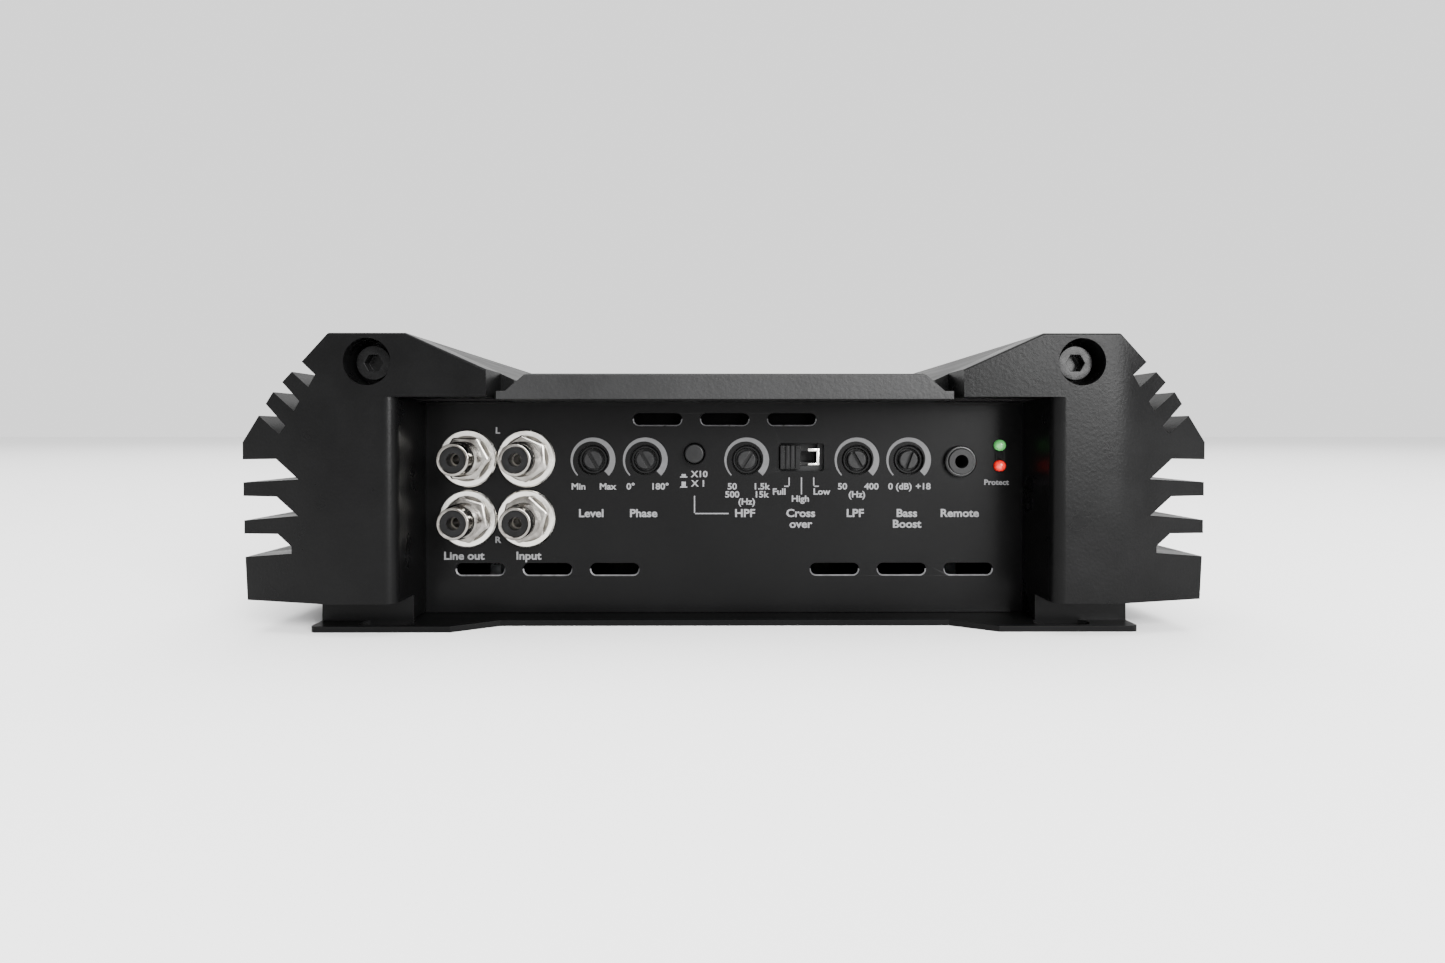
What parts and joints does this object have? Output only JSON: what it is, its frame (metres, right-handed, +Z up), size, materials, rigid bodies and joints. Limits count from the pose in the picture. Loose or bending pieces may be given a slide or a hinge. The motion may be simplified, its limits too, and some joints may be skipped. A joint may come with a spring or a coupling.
{
  "type": "car amplifier",
  "caption": "Car audio amplifier with finned side heatsinks, cast corner caps, a recessed control panel with dials, switches and sockets, and terminals at the far end.",
  "frame": {"origin": "middle of the flat underside", "axes": "+Z up, +X to the right when facing the control end, +Y from the control end to the power end"},
  "size_m": [0.2406, 0.33, 0.074],
  "materials": {
    "heatsink_black": "satin black anodised extrusion",
    "cap_black": "fine-textured semi-gloss black casting",
    "cover_black": "fine-textured satin black",
    "sheet_black": "smooth satin black powder coat",
    "bolt_black": "black oxide",
    "screw_zinc": "zinc plated",
    "nickel": "bright nickel plate",
    "insulator_black": "moulded",
    "shaft_grey": "moulded",
    "control_black": "semi-gloss moulded",
    "switch_metal": "tinned steel",
    "lens_green": "tinted lens",
    "lens_red": "tinted lens",
    "board_green": "solder mask",
    "core_copper": "enamelled copper winding",
    "capacitor_sleeve": "shrink sleeve",
    "pad_grey": "thermal pad",
    "bar_aluminium": "mill finish",
    "plate_brass": "plated",
    "fuse_orange": "tinted body"
  },
  "bodies": {
    "root": {"base_plate": "sheet_black", "base_screws": "screw_zinc", "board_link": "control_black", "board_screws": "screw_zinc", "clamp_bar_left": "bar_aluminium", "clamp_bar_right": "bar_aluminium", "control_board": "board_green", "control_panel": "sheet_black", "corner_bolts": "bolt_black", "corner_cap_front_left": "cap_black", "corner_cap_front_right": "cap_black", "corner_cap_rear_left": "cap_black", "corner_cap_rear_right": "cap_black", "filter_capacitors": "capacitor_sleeve", "fuse_1": "fuse_orange", "fuse_2": "fuse_orange", "fuse_holder": "insulator_black", "heatsink_left": "heatsink_black", "heatsink_right": "heatsink_black", "insulator_strip_left": "pad_grey", "insulator_strip_right": "pad_grey", "led_power": "lens_green", "led_protect": "lens_red", "main_board": "board_green", "output_inductor": "core_copper", "pot_body_bass_boost": "control_black", "pot_body_high_pass": "control_black", "pot_body_level": "control_black", "pot_body_low_pass": "control_black", "pot_body_phase": "control_black", "power_terminal_strip": "insulator_black", "power_transformer": "core_copper", "push_switch_body": "insulator_black", "rca_contacts": "nickel", "rca_insulators": "insulator_black", "rca_nuts": "nickel", "rca_shell_lower_left": "nickel", "rca_shell_lower_right": "nickel", "rca_shell_upper_left": "nickel", "rca_shell_upper_right": "nickel", "rear_panel": "sheet_black", "remote_jack_body": "insulator_black", "remote_jack_ring": "control_black", "slide_switch_body": "switch_metal", "speaker_terminal_strip": "insulator_black", "standoffs": "screw_zinc", "terminal_plates": "plate_brass", "terminal_screws": "screw_zinc", "top_cover": "cover_black", "transistors_left": "control_black", "transistors_right": "control_black"},
    "level_shaft": {"pot_shaft_level": "shaft_grey"},
    "phase_shaft": {"pot_shaft_phase": "shaft_grey"},
    "high_pass_shaft": {"pot_shaft_high_pass": "shaft_grey"},
    "low_pass_shaft": {"pot_shaft_low_pass": "shaft_grey"},
    "bass_boost_shaft": {"pot_shaft_bass_boost": "shaft_grey"},
    "button": {"push_button": "control_black"},
    "switch_knob": {"slide_knob": "control_black"}
  },
  "joints": [
    {"name": "level_turn", "type": "hinge", "parent": "root", "child": "level_shaft", "pos_m": [-0.0353, -0.141, 0.0425], "axis": [0, -1, 0], "range_deg": [-170, 110]},
    {"name": "phase_turn", "type": "hinge", "parent": "root", "child": "phase_shaft", "pos_m": [-0.0213, -0.141, 0.0425], "axis": [0, -1, 0], "range_deg": [-170, 110]},
    {"name": "high_pass_turn", "type": "hinge", "parent": "root", "child": "high_pass_shaft", "pos_m": [0.0059, -0.141, 0.0425], "axis": [0, -1, 0], "range_deg": [-109, 171]},
    {"name": "low_pass_turn", "type": "hinge", "parent": "root", "child": "low_pass_shaft", "pos_m": [0.0355, -0.141, 0.0425], "axis": [0, -1, 0], "range_deg": [-170, 110]},
    {"name": "bass_boost_turn", "type": "hinge", "parent": "root", "child": "bass_boost_shaft", "pos_m": [0.0494, -0.141, 0.0425], "axis": [0, -1, 0], "range_deg": [-120, 160]},
    {"name": "button_press", "type": "slide", "parent": "root", "child": "button", "axis": [0, 1, 0], "range_m": [0, 0.0025], "stiffness_N_per_m": 150},
    {"name": "crossover_slide", "type": "slide", "parent": "root", "child": "switch_knob", "axis": [1, 0, 0], "range_m": [0, 0.006]}
  ]
}
